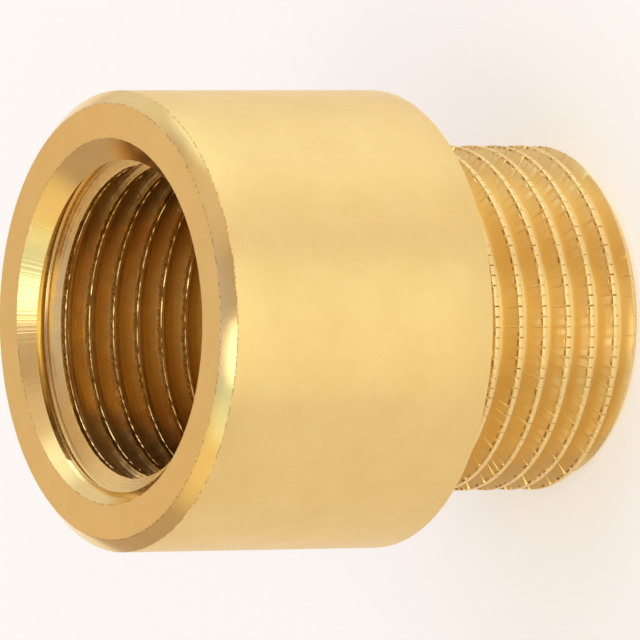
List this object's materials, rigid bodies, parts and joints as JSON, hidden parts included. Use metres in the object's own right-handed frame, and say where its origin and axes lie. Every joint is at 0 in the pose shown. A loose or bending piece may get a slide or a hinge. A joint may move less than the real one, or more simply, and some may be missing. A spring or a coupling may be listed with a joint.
{
  "type": "threaded pipe extension",
  "caption": "Short round brass pipe extension: a smooth body with a tapped socket in its mouth and a coaxial male pipe thread below, bored through for water.",
  "frame": {"origin": "centre of the male end face, at the bottom", "axes": "+Z along the pipe axis, from the male end face to the female mouth; the part is round, and -Y is the side on which the first male crest lies 0.35 mm above the end face"},
  "size_m": [0.022, 0.022, 0.025],
  "materials": {
    "brass": "satin, as turned"
  },
  "bodies": {
    "root": {"pipe_extension": "brass"}
  },
  "joints": []
}
